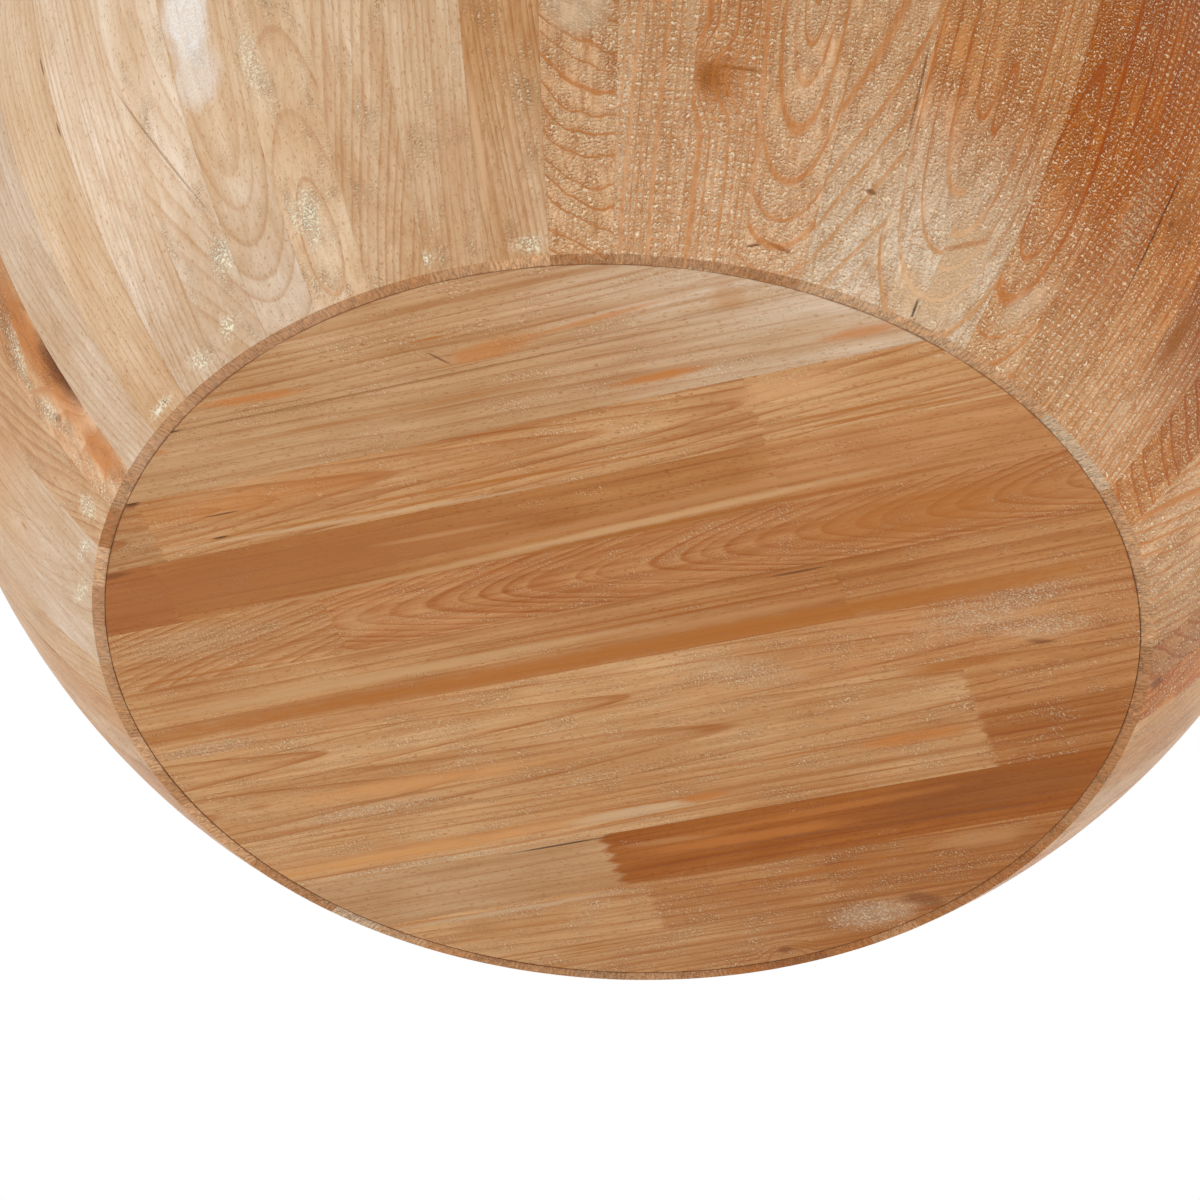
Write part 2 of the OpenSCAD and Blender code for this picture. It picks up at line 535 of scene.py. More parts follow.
    def material(self, name: str, frame: PlankFrame, plank: Plank, rim_mm: float = 0.0) -> bpy.types.Material:
        """Makes the finish of one plank.

        Args:
            name: The plank's name.
            frame: Where the plank lies.
            plank: What it is made of, with its marks in mm across and along it, and its splices in order.
            rim_mm: Radius of the joint with the wall, where a line of painted shade runs, or 0 where there is
                none.

        Returns:
            The material.
        """
        knot_reach, knot_edge = 2.6, 0.9
        made = bpy.data.materials.new("brushed_softwood_" + name)
        tree = emptied(made)
        new, tone, grain = partial(add, tree), plank.tone, plank.grain
        source = new("TexCoord").node.outputs
        rows = frame.rows()
        place = new("Mapping", source["Object"], -(rows @ frame.origin), rows.to_euler("XYZ"), (1 / MM,) * 3)
        early: Any = tone.near.spring
        late: Any = tone.near.summer
        if tone.far is not tone.near:
            height = new("SeparateXYZ", place).node.outputs[1]
            fade = new("MapRange SMOOTHSTEP", height, *tone.fade)
            early = new("Mix RGBA", fade, early, tone.far.spring)
            late = new("Mix RGBA", fade, late, tone.far.summer)
        board = place
        for joint in plank.splices:
            past, cut = self.past_joint(tree, place, joint)
            board = new("VectorMath ADD", board, new("VectorMath SCALE", joint.shift, cut))
            early = new("Mix RGBA", past, early, joint.shade.spring)
            late = new("Mix RGBA", past, late, joint.shade.summer)
        push: Any = 0.0
        for mark in plank.marks:
            if mark.kind.value.push:
                near = self.mark_mask(tree, place, mark, knot_reach, knot_edge)
                push = new("Math MULTIPLY_ADD", near, mark.kind.value.push, push)
        rings = new("Group", node_tree=self.rings(), Place=board, Pith=(*grain.pith, grain.lean),
                    Taper=grain.taper, Ring=grain.ring, Wobble=grain.wobble, Seed=grain.seed, Push=push,
                    Early=early, Late=late, Depth=tone.depth, Fleck=tone.fleck, Rough=tone.rough,
                    Chatter=tone.chatter).node.outputs
        colour, relief = rings["Color"], rings["Relief"]
        for mark in plank.marks:
            style = mark.kind.value
            mask = self.mark_mask(tree, place, mark, 1.0, style.edge, rings["Wander"], style.ragged)
            if style.speckle:
                solid = new("MapRange", rings["Speckle"], 0, 1, 1 - style.speckle, 1)
                mask = new("Math MULTIPLY", mask, solid)
            colour = new("Mix RGBA", new("Math MULTIPLY", mask, mark.strength), colour, mark.colour.spring)
            if style.lift:
                relief = new("Math MULTIPLY_ADD", mask, style.lift, relief)
        # cut across the grain the wood is darker and shows open pores and saw hatching instead of streaks
        facing = new("Math ABSOLUTE", new("VectorMath DOT_PRODUCT", source["Normal"], frame.along))
        ends = new("MapRange", facing, 0.7, 0.8)
        hatch = stretched(tree, place, self.hatch_mm, 3.0, 0.75)
        hatch = new("MapRange", hatch, 0.36, 0.62, 0.42, 1.3)
        cut = new("VectorMath SCALE", tone.end.spring[:3], hatch)
        colour = new("Mix RGBA", ends, colour, new("Mix RGBA", 0.25, cut, colour))
        # a line of painted shade along the joint between the wall and the panel
        if rim_mm:
            colour = self.painted_joint_shade(tree, source["Object"], colour, rim_mm)
        bump = new("Bump", Strength=1.0, Distance=MM, Height=relief)
        shader = new("BsdfPrincipled", Base_Color=colour, Roughness=rings["Gloss"], Normal=bump,
                     IOR=self.wood_ior, Specular_IOR_Level=self.wax_shine)
        new("OutputMaterial", shader)
        return made

    @staticmethod
    def painted_joint_shade(tree: bpy.types.NodeTree, room: Socket, colour: Socket, rim_mm: float) -> Socket:
        """Adds a painted shade: a thin dark line of uneven width along the round joint between the wall and a
        panel.

        Args:
            tree: The node tree.
            room: The place in the room, in metres.
            colour: The wood's colour.
            rim_mm: The joint's radius.

        Returns:
            The colour with the line in it.
        """
        new = partial(add, tree)
        thinnest, widest, darkest, shade_wobble_mm = 0.25, 1.1, 0.75, 26
        flat = new("VectorMath MULTIPLY", room, (1 / MM, 1 / MM, 0))
        away = new("Math ABSOLUTE", new("Math SUBTRACT", new("VectorMath LENGTH", flat), rim_mm))
        thick = stretched(tree, flat, (shade_wobble_mm,) * 3, 3.0, 0.6)
        thick = new("MapRange", thick, 0.4, 0.62, thinnest, widest)
        # painted shade: darkest on the joint, fading out over its uneven width
        line = new("MapRange", away, thick, 0, 0, darkest)
        return new("Mix RGBA", line, colour, SOIL.spring)

    @staticmethod
    def mark_mask(tree: bpy.types.NodeTree, place: Socket, mark: Mark, grow: float, edge: float,
                  wander: Socket | None = None, ragged: float = 0.0) -> Socket:
        """Adds the mask of a mark: 1 inside its oval, 0 outside.

        Args:
            tree: The node tree.
            place: The place on the plank, in mm.
            mark: The mark.
            grow: How many times larger the oval is than the mark says.
            edge: Width of the soft edge, as a share of the half size.
            wander: Vector noise that makes the outline uneven.
            ragged: How much of it to use.

        Returns:
            The mask's socket.
        """
        new = partial(add, tree)
        endless = 10000.0
        local = new("Mapping TEXTURE", place, (mark.x, mark.y, 0), (0, 0, -math.radians(mark.turn)),
                    (mark.wide * grow, mark.long * grow, endless))
        if wander is not None:
            local = new("VectorMath MULTIPLY_ADD", wander, (ragged,) * 3, local)
        far = new("VectorMath LENGTH", local)
        return new("MapRange SMOOTHSTEP", far, 1 + edge, 1 - edge)

    def past_joint(self, tree: bpy.types.NodeTree, place: Socket, joint: Splice) -> tuple[Socket, Socket]:
        """Adds the masks of what lies past a finger joint, with its zigzag of glued fingers.

        Args:
            tree: The node tree.
            place: The place on the board, in mm.
            joint: The finger joint.

        Returns:
            The mask for the tone, soft where the wax has evened it out, and the crisp one for the grain.
        """
        new = partial(add, tree)
        across, along, _ = new("SeparateXYZ", place).node.outputs
        zigzag = new("Math PINGPONG", across, self.finger_mm)
        edge = new("Math MULTIPLY_ADD", zigzag, joint.tooth / self.finger_mm, joint.at - joint.tooth / 2)
        past = new("Math SUBTRACT", along, edge)
        return new("MapRange", past, -joint.blur, joint.blur), new("Math GREATER_THAN", past, 0.0)


@dataclass(frozen=True)
class ZincSteel:
    """Zinc-plated steel screws, drawn and plated: a cool grey metal with a soft, slightly cloudy shine."""
    plate: str = "#B9BBBE"
    cloud: str = "#8F9296"
    cloud_mm: float = 1.5

    def material(self) -> bpy.types.Material:
        """Makes the metal."""
        made = bpy.data.materials.new("zinc_plated_steel")
        tree = emptied(made)
        new = partial(add, tree)
        place = new("VectorMath SCALE", new("TexCoord").node.outputs["Object"], 1 / MM)
        haze = stretched(tree, place, (self.cloud_mm,) * 3)
        colour = new("Mix RGBA", haze, linear(self.plate), linear(self.cloud))
        dull = new("MapRange", haze, 0, 1, 0.28, 0.45)
        shader = new("BsdfPrincipled", Base_Color=colour, Metallic=1.0, Roughness=dull)
        new("OutputMaterial", shader)
        return made


# ---- meshes


def build_object(name: str, points: np.ndarray, faces: list[Sequence[int]],
                 slots: Sequence[bpy.types.Material],
                 slot_of_face: Sequence[int] | None = None) -> bpy.types.Object:
    """Makes an object from points in mm, smooth across faces and crisp at arrises.

    Args:
        name: The piece's name.
        points: Its vertices in mm.
        faces: Its faces as vertex numbers.
        slots: Its materials.
        slot_of_face: The material number of each face, if there are several.

    Returns:
        The object, linked to the scene.
    """
    crisp_edge = math.radians(32)
    mesh = bpy.data.meshes.new(name)
    mesh.from_pydata((points * MM).tolist(), [], faces)
    for slot in slots:
        mesh.materials.append(slot)
    if slot_of_face is not None:
        mesh.polygons.foreach_set("material_index", slot_of_face)
    mesh.polygons.foreach_set("use_smooth", [True] * len(mesh.polygons))
    mesh.set_sharp_from_angle(angle=crisp_edge)
    mesh.update()
    made = bpy.data.objects.new(name, mesh)
    bpy.context.collection.objects.link(made)
    return made


def tube_faces(stations: int, around: int, first: int = 0) -> list[Sequence[int]]:
    """Gives the faces of a closed loop swept through several stations, with a flat cap at each end.

    Args:
        stations: How many copies of the loop there are.
        around: Points in the loop.
        first: Number of the first vertex.

    Returns:
        The faces, outside out where the loop runs anticlockwise seen from the last station.
    """
    faces: list[Sequence[int]] = []
    for s in range(stations - 1):
        a, b = first + s * around, first + (s + 1) * around
        faces += [(a + i, a + (i + 1) % around, b + (i + 1) % around, b + i) for i in range(around)]
    faces.append([first + i for i in reversed(range(around))])
    faces.append([first + (stations - 1) * around + i for i in range(around)])
    return faces


def eased_steps(width: float, pitch: float) -> list[float]:
    """Places rows over a width, close together at both eased edges.

    Args:
        width: The width in mm.
        pitch: Rough distance between rows in the middle.

    Returns:
        Places from 0 to the width.
    """
    near = (0.0, 0.25, 0.7, 1.6)
    count = max(2, round((width - 2 * near[-1]) / pitch))
    middle = [near[-1] + (width - 2 * near[-1]) * i / count for i in range(1, count)]
    return [*near, *middle, *(width - n for n in reversed(near))]


def ease_drop(edge_distance: float) -> float:
    """Gives how far a face falls away, in mm, at a distance from an eased arris."""
    reach, depth = 0.5, 0.12
    return depth * max(0.0, 1 - edge_distance / reach) ** 2


def waviness(place: Vector, wave_mm: float, deepest: float) -> float:
    """Gives how far the sander has taken a face down, in mm, at a place in the room."""
    return deepest * (0.5 + 0.5 * noise.noise(place / wave_mm))


def settle(piece: bpy.types.Object, node: str) -> None:
    """Makes a piece ride with the table and stand for its CAD node.

    Args:
        piece: The piece.
        node: The CAD node that it replaces.
    """
    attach(piece, "root")
    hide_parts(node)


# ---- the wood that each strip and board is made of


# The wall strips that were seen, by number from the first seam. Their shades partly hold painted light: the
# strips on the left are paler partly as a painted broad sheen, besides their own paler wood.
WALL_STRIPS: dict[int, Plank] = {
    51: Plank(Grain((60, -60), 4.4, 1.4, 41.3), Tone(SAND, SAND, 0.6, 0.3)),
    52: Plank(Grain((-80, 40), 5, 1.6, 42.7), Tone(STRAW, SAND, 0.6, 0.3)),
    53: Plank(Grain((-9, 44), 6.4, 1.2, 43.9), Tone(OAT, SAND, 0.6, 0.4)),
    54: Plank(Grain((110, -30), 3.8, 1.2, 44.2), Tone(SAND, OAT, 0.6, 0.3)),
    55: Plank(Grain((-70, -50), 4.2, 1.6, 45.6), Tone(OAT, OAT, 0.4, 0.25)),
    56: Plank(Grain((-50, 60), 6, 2, 2.1), Tone(LINEN, BISCUIT, 0.3, 0.1)),
    57: Plank(Grain((40, 60), 6, 2, 3.7), Tone(LINEN, SAND, 0.3, 0.15), (
        knot(-175.3, 43, 1.4, 2.4, CARAMEL), filler(-176, 6, 9, 3, PUTTY, 20, 1))),
    0: Plank(Grain((-150, 20), 6, 2, 1.3), Tone(LINEN, SAND, 0.3, 0.15), (
        filler(-169.5, 6, 10, 2.5, PUTTY, 15, 1),)),
    1: Plank(Grain((-60, -70), 3.6, 1.5, 4.4), Tone(BISCUIT, OAT, 0.65, 0.3), (
        filler(-164, 9, 6, 5, PUTTY, 25, 1),)),
    2: Plank(Grain((30, -60), 6, 2, 5.2), Tone(SHELL, STRAW, 0.7, 0.5), (
        stain(-156.6, 62, 8, 42, AMBER), stain(-156.6, 12, 9, 14, AMBER),
        knot(-155.3, 48, 6, 19, SOIL, 0, 0.85), knot(-154.9, 45, 3, 12, PITCH, 0, 0.5),
        stain(-159, 37, 3, 2, SOIL, 40, 0.7), scuff(-159, 70, 4, 16, PUTTY, 20),
        scuff(-159.5, 42, 5, 7, PUTTY))),
    3: Plank(Grain((-110, -45), 3.6, 0.8, 6.3), Tone(LINEN, LINEN, 0.35, 0.1)),
    4: Plank(Grain((-150, -10), 4, 1, 7.1), Tone(BISCUIT, MILK, 0.3, 0.1), (
        split(-142.7, 158, 0.5, 5, SOIL), split(-142.7, 123, 0.5, 4, SOIL), stain(-145, 4, 1.2, 1.2, SOIL),
        filler(-146, 4, 8, 2, PUTTY, 0, 1))),
    5: Plank(Grain((150, -30), 3.4, 0.8, 8.9), Tone(LINEN, PEARL, 0.45, 0.15), (
        filler(-138.5, 6, 6, 4, PUTTY, 30, 1),)),
    6: Plank(Grain((-60, -80), 4.6, 1, 9.6), Tone(LINEN, PEARL, 0.4, 0.3), (
        filler(-131, 31, 5, 7, PUTTY, 10, 1), filler(-133.5, 10, 4, 5, PUTTY, 30, 1),
        split(-133.4, 82, 0.5, 38, TOFFEE, -20, 0.5))),
    # strip 7: its two pale patches are a painted glossy highlight
    7: Plank(Grain((-2, 38), 5.2, 0.4, 10.4), Tone(LINEN, MILK, 0.42, 0.2), (
        bleach_and_sheen(-127.8, 128, 12, 22, LIME, 0, 0.95), bleach_and_sheen(-127.9, 101, 12.5, 15, LIME, 0, 0.55))),
    8: Plank(Grain((-1, 13), 10.4, 0.8, 11.8, 0.1), Tone(MILK, MILK, 0.55, 0.35), (
        scuff(-121.3, 30, 5, 12, PUTTY, 0, 0.9), scuff(-122.8, 34, 2, 8, PUTTY),
        scuff(-123, 95, 5, 16, PUTTY, 0, 0.7))),
    9: Plank(Grain((80, -50), 3.4, 0.8, 12.5), Tone(BISCUIT, MILK, 0.55, 0.25)),
    10: Plank(Grain((140, -12), 3, 0.7, 13.9), Tone(BISCUIT, MILK, 0.45, 0.3), (
        stain(-107, 40, 6, 22, CARAMEL, 0, 0.35), filler(-112, 4, 8, 3, PUTTY, 0, 1))),
    11: Plank(Grain((-120, -30), 2.9, 0.7, 14.2), Tone(BISCUIT, SAND, 0.6, 0.35), (
        stain(-104.7, 38, 2, 28, CREAM, -3, 0.75), filler(-101, 4, 6, 3, PUTTY, 0, 1))),
    12: Plank(Grain((130, 240), 9, 7.5, 15.4, -0.62), Tone(BLUSH, BLUSH, 1.35, 0.7), (
        bleach_and_sheen(-96, 88, 14, 14, MILK),)),
    13: Plank(Grain((170, 0), 3.6, 0.5, 16.8), Tone(SHELL, BLUSH, 0.85, 0.9, 1, 1), (
        stain(-87.3, 92, 1.6, 20, CREAM, 0, 0.6),)),
    14: Plank(Grain((-180, 0), 3.8, 0.6, 17.3), Tone(SHELL, PEACH, 0.9, 1, 1, 1), (
        stain(-85.3, 62, 9, 10, AMBER), knot(-85.3, 62, 4.5, 5.5, CHESTNUT),
        stain(-83.2, 66, 9, 0.8, CHESTNUT), stain(-84, 60, 8, 14, AMBER, 0, 0.4))),
    15: Plank(Grain((-2, 36), 5.1, 0.4, 18.2), Tone(SHELL, BLUSH, 1.1, 0.7), (
        split(-79.5, 7, 0.5, 3, SOIL, 70), stain(-77, 8, 5, 1, CHESTNUT, 10))),
    16: Plank(Grain((55, -75), 6, 0.8, 19.4), Tone(PEARL, BLUSH, 1.05, 0.9), (
        split(-68.3, 75, 0.5, 22, SOIL, 0, 0.6), stain(-70, 34, 2.5, 1.2, SOIL))),
    17: Plank(Grain((13, 34), 8, 0.5, 20.3), Tone(PEARL, APRICOT, 1.15, 0.7, fade=(28, 120)), (
        stain(-63.6, 8, 8, 10, BLUSH, 0, 0.7), split(-62.3, 4, 0.6, 4, PITCH))),
    18: Plank(Grain((-14, 30), 8.5, 0.5, 21.7), Tone(PEARL, APRICOT, 1.15, 0.95, fade=(28, 120)), (
        stain(-60.3, 18, 13, 26, BLUSH, 12, 0.75), stain(-60, 30, 13, 1.3, AMBER, -35, 0.6))),
    19: Plank(Grain((-9, 26), 6.6, 0.6, 22.9), Tone(BLUSH, EMBER, 1.15, 0.8), (
        stain(-53.8, 110, 6, 40, CHESTNUT, 0, 0.15), stain(-56.6, 14, 1.2, 9, RUST, 0, 0.6),
        stain(-52, 22, 5, 14, MILK, 30, 0.5))),
    20: Plank(Grain((110, -25), 3.2, 0.5, 23.1), Tone(CREAM, EMBER, 1.1, 0.85, 1, 1), (
        split(-43.4, 80, 0.6, 36, PITCH, 0, 0.7), scuff(-45.5, 75, 8, 28, CREAM))),
    21: Plank(Grain((160, 0), 4.4, 0.5, 24.8), Tone(BLUSH, GINGER, 1.1, 0.9, 1, 0.5), (
        knot(-42.2, 86, 1.3, 1.8, SOIL), knot(-39.6, 87, 0.9, 1.2, SOIL),
        stain(-41.5, 90, 8, 14, CHESTNUT, 0, 0.4))),
    22: Plank(Grain((-100, -25), 3.4, 0.8, 25.4), Tone(SHELL, RUST, 1.35, 0.9), (
        stain(-36.4, 16, 1.5, 9, CREAM), stain(-35.5, 55, 4, 14, CHESTNUT))),
    23: Plank(Grain((30, 120), 7, 2.4, 26.2, -0.4), Tone(APRICOT, CHESTNUT, 1.45, 0.9)),
    24: Plank(Grain((50, -60), 4.6, 1.4, 27.6), Tone(BLUSH, BLUSH, 1.2, 0.8)),
    25: Plank(Grain((-40, 44), 6, 1.4, 28.9), Tone(CREAM, CREAM, 1, 0.7)),
    26: Plank(Grain((80, -60), 5, 1.6, 29.3), Tone(SAND, SAND, 0.9, 0.7)),
    27: Plank(Grain((-30, 80), 6.5, 2.2, 30.8), Tone(CARAMEL, CARAMEL, 1.1, 0.7)),
    28: Plank(Grain((40, 60), 6, 2.2, 31.5), Tone(GINGER, GINGER, 1.4, 0.7), (
        knot(0.8, 5, 5, 4, SOIL),)),
    29: Plank(Grain((-90, -40), 4, 1.6, 46.1), Tone(SAND, SAND, 0.6, 0.4)),
    30: Plank(Grain((8, 40), 6.6, 1.2, 47.4), Tone(STRAW, SAND, 0.7, 0.4)),
    31: Plank(Grain((120, -20), 3.6, 1.4, 48.8), Tone(OAT, SAND, 0.6, 0.3)),
}

# Spring wood of the planks that weren't seen.
UNSEEN_TONES: tuple[Shade, ...] = (OAT, PEACH, SAND, APRICOT, STRAW, HONEY, AMBER, CREAM)

# End grain at the foot that isn't the usual clay brown, by strip.
FOOT_ENDS: dict[Shade, tuple[int, ...]] = {
    MILK: (21, 22, 47),
    ASH: (0, 11, 16, 17, 18, 19, 20, 23, 24, 25, 26, 46, 50, 51, 53),
    BARK: (5, 6, 7, 8, 9, 12, 15, 29, 30, 31, 49, 57),
    CHESTNUT: (1, 32, 33, 34, 35, 37, 38, 39),
}

# Where along a panel board its near shade starts to change, unless it has a fade of its own, in mm.
PANEL_FADE: Point = (-160.0, 160.0)

# The base panel's boards. A mark's place is mm along the board and mm across the whole panel.
BASE_BOARDS: tuple[Plank, ...] = (
    Plank(Grain((-60, -30), 5.6, 2, 1.9, 0.03, 0.02), Tone(WHEAT, LINEN, 0.75, 0.35, 0.6, fade=(0, 140)), (
        stain(-112, -211.5, 2.4, 24, AMBER, 4, 0.7), stain(-20, -224.5, 0.8, 10, RUST),
        stain(6, -211, 5, 20, AMBER, -6, 0.6), stain(60, -216, 1.4, 30, AMBER, -4, 0.6),
        split(-20, -212, 0.5, 6, SOIL, 50, 0.7), stain(118, -212, 9, 7, CARAMEL, 0, 0.5))),
    Plank(Grain((80, 40), 7.5, 2.2, 2.8, 0.02, 0.02), Tone(WHEAT, LINEN, 0.65, 0.35, 0.6, fade=(0, 200)), (
        split(-40, -201, 0.5, 110, TOFFEE), stain(-169, -191, 1.6, 5, AMBER, 0, 0.5),
        stain(-60, -186, 1.2, 90, TOFFEE, 0, 0.5), stain(75, -174.5, 2.4, 20, AMBER),
        stain(170, -176, 3, 18, AMBER, 0, 0.7), split(-158, -201.5, 0.5, 6, PITCH))),
    Plank(Grain((3, 9), 5.4, 2.2, 3.6, 0.075), Tone(FAWN, HONEY, 0.95, 0.35, 0.6), (
        stain(-140, -150, 7, 62, AMBER, 1, 0.4), stain(-20, -131, 1.2, 70, RUST, 2),
        stain(-100, -125, 1.2, 90, OAT, 2, 0.6), stain(-100, -128, 0.8, 90, RUST, 2, 0.6),
        stain(128, -152, 6, 24, PEACH, 0, 0.6), split(-154, -144.6, 0.4, 8, SOIL),
        split(-161, -130, 0.5, 4, PITCH), stain(-194, -164, 3, 4, PITCH, 0, 0.9),
        stain(160, -131, 0.8, 50, RUST), stain(170, -125, 0.8, 50, RUST)),
        (Splice(-193, (9, 40, 3), STRAW), Splice(110, (24, 160, 24), SAND, 2.5, 8))),
    Plank(Grain((-120, 50), 9, 2.4, 4.2, 0.03, 0.03), Tone(NUTMEG, FAWN, 0.6, 0.2, 0.5), (
        stain(-150, -102, 17, 110, NUTMEG, 0, 0.7), stain(-57, -104, 1.4, 30, HONEY, 1),
        stain(40, -86, 2.4, 110, SAND, -2, 0.85), stain(90, -82.5, 1.4, 110, CHESTNUT, -1, 0.7),
        stain(60, -94, 2.6, 120, HONEY, -2, 0.7), stain(-223, -119, 2, 9, SOIL),
        stain(-100, -80.5, 1.4, 80, STRAW, -1, 0.7)),
        (Splice(-202, (5, 50, 12), TOFFEE), Splice(108, (15, 90, 10), HONEY, 2.5, 16))),
    Plank(Grain((30, 22), 3.3, 1.5, 5.7, -0.21), Tone(STRAW, CARAMEL, 1, 0.4, 0.6), (
        stain(170, -58, 15, 60, RUST, 0, 0.65), stain(-118, -57, 8, 9, SAND, 0, 0.35),
        stain(-200, -41.5, 0.8, 60, RUST, 0, 0.7), scuff(-200, -65, 8, 40, CREAM, 0, 0.5)),
        (Splice(-130, (30, 0, 12), HONEY),)),
    Plank(Grain((150, 10), 8, 1.4, 6.5, 0, -0.01), Tone(STRAW, TOFFEE, 0.8, 0.3, 0.6), (
        stain(0, -2, 6, 260, RUST, 0, 0.85), stain(-120, -17, 3.4, 130, SAND, 0, 0.75),
        stain(20, -25, 0.7, 110, CHESTNUT, 0, 0.7), stain(0, -21, 0.7, 120, CHESTNUT, 0, 0.6),
        split(100, -34, 0.6, 13, SOIL, 0, 0.9), stain(60, -12, 3, 60, HONEY, 0, 0.7)),
        (Splice(118, (13, 70, 10), CARAMEL),)),
    Plank(Grain((5, 8), 9.5, 1.2, 7.3, 0.055), Tone(SAND, HONEY, 1, 0.42, 0.7, fade=(0, 160)), (
        scuff(58, 28, 9, 24, MILK, 25, 0.4), scuff(185, 16, 9, 34, MILK, -12, 0.6),
        scuff(-225, 12, 4, 26, MILK, 0, 0.5), scuff(205, 34, 7, 24, MILK, 10, 0.6),
        stain(205, 46, 2, 9, SOIL, 24, 0.7), stain(-160, 22, 0.7, 50, TOFFEE, -4))),
    Plank(Grain((-2, 9), 9, 1.4, 8.2, 0.06), Tone(STRAW, STRAW, 0.85, 0.4, 0.65), (
        stain(-130, 65, 5, 66, APRICOT, 1, 0.7), scuff(-160, 80, 4, 34, MILK, 0, 0.5),
        stain(-140, 72.5, 0.8, 60, TOFFEE), stain(160, 50, 3.4, 26, RUST),
        stain(-218, 62, 2, 6, TOFFEE, 0, 0.6), stain(210, 57, 2, 12, TOFFEE, 30, 0.6)),
        (Splice(160, (9, 60, 12), CARAMEL),)),
    Plank(Grain((-70, 20), 6.4, 1.6, 9.1), Tone(SAND, STRAW, 0.9, 0.42, 0.65), (
        stain(-150, 117, 4.5, 92, APRICOT, -1, 0.85), scuff(-150, 127, 1.6, 66, MILK),
        stain(-28, 116, 3.4, 34, OAT), stain(-25, 111.5, 0.8, 36, RUST, 2, 0.7),
        stain(-25, 121, 0.8, 36, RUST, -2, 0.7), stain(8, 114, 2.6, 12, AMBER, 0, 0.9),
        stain(125, 97, 4, 26, AMBER), stain(60, 94, 1, 60, RUST, 0, 0.6)),
        (Splice(160, (9, 60, 14), TOFFEE),)),
    Plank(Grain((-90, 40), 7, 1.8, 10.7, 0.02, 0.02), Tone(WHEAT, HONEY, 0.55, 0.15, 0.6), (
        split(-75, 131.8, 0.6, 26, PITCH), stain(60, 157, 1.2, 120, SOIL, 3, 0.4),
        stain(150, 146, 16, 60, SOIL, 0, 0.4), stain(20, 151, 4, 56, AMBER, 1, 0.6),
        stain(70, 140, 2.2, 70, AMBER, -1, 0.5), stain(-20, 143, 2, 22, HONEY, 3, 0.5)),
        (Splice(-52, (30, 90, 20), CHESTNUT, 5, 2.4),)),
    Plank(Grain((50, 30), 6.6, 2.2, 11.2, 0.04), Tone(SAND, HONEY, 0.8, 0.45, 0.7), (
        stain(-138, 186, 8, 12, CARAMEL, 0, 0.6), stain(-120, 177, 2, 60, OAT),
        stain(140, 183, 6, 22, HONEY, 0, 0.7), stain(50, 187, 2.4, 50, RUST, -3),
        stain(25, 172.5, 1.2, 80, CHESTNUT)),
        (Splice(-42, (-25, 70, 14), CARAMEL), Splice(55, (25, 60, 4), TOFFEE))),
    Plank(Grain((-130, 10), 4.2, 1.2, 12.4), Tone(SAND, TOFFEE, 0.8, 0.4, 0.7), (
        bleach_and_sheen(70, 229, 9, 22, MILK, 0, 0.3), scuff(70, 229, 9, 20, MILK, 0, 0.6),
        knot(15, 247, 2.6, 4, SOIL), stain(45, 246, 4, 30, CHESTNUT, 0, 0.6),
        stain(98, 224, 5, 12, SOIL, 30, 0.6))),
)


def wall_strip(strip: int) -> Plank:
    """Gives a wall strip's wood: as listed, or a seeded draw of the same stock on the far side.

    Args:
        strip: Its number from the first seam.

    Returns:
        The plank.
    """
    draw = random.Random(401 + strip)
    step = draw.choice((0.0, 0.04, 0.08, 0.12))
    end = next((shade for shade, strips in FOOT_ENDS.items() if strip in strips), CLAY)
    if strip in WALL_STRIPS:
        known = WALL_STRIPS[strip]
        return replace(known, tone=replace(known.tone, end=end), step=step)
    foot = draw.choice(UNSEEN_TONES)
    if draw.random() < 0.4:
        pith = (draw.uniform(-14, 14), draw.choice((-1, 1)) * draw.uniform(30, 60))
        ring = draw.uniform(5.5, 8.5)
    else:
        pith = (draw.choice((-1, 1)) * draw.uniform(60, 170), draw.uniform(-70, 40))
        ring = draw.uniform(2.8, 4.6)
    grain = Grain(pith, ring, draw.uniform(0.8, 1.8), 33 + strip * 1.37)
    tone = Tone(foot, foot, draw.uniform(0.75, 0.95), draw.uniform(0.2, 0.8), end=end)
    return Plank(grain, tone, step=step)


def panel_board(label: str, number: int) -> Plank:
    """Gives a panel board's wood: the base's as listed, the top's as a seeded draw of the same stock.

    Args:
        label: Start of the panel's node names.
        number: The board's number, from 0.

    Returns:
        The plank.
    """
    draw = random.Random(77 + number)
    step = draw.choice((0.0, 0.03, 0.06, 0.1))
    if label.startswith("base"):
        known = BASE_BOARDS[number]
        fade = PANEL_FADE if known.tone.fade == Tone.fade else known.tone.fade
        return replace(known, tone=replace(known.tone, fade=fade), step=step)
    first, second = draw.choice(UNSEEN_TONES), draw.choice(UNSEEN_TONES)
    if draw.random() < 0.5:
        pith = (draw.uniform(-9, 9), draw.uniform(8, 16))
        taper = draw.choice((-1, 1)) * draw.uniform(0.10, 0.22)
    else:
        pith = (draw.choice((-1, 1)) * draw.uniform(60, 140), 20.0)
        taper = draw.uniform(-0.03, 0.03)
    ring, lean, wobble = draw.uniform(3.2, 5.6), draw.uniform(-0.02, 0.02), draw.uniform(1.0, 2.0)
    grain = Grain(pith, ring, wobble, 5 + 1.7 * number, taper, lean)
    joint = Splice(draw.uniform(-220, 220), (draw.uniform(8, 30), 120.0, draw.uniform(4, 20)), second)
    return Plank(grain, Tone(first, first, draw.uniform(0.7, 0.9), 0.3, 0.6), (), (joint,), step)


# ---- the wall


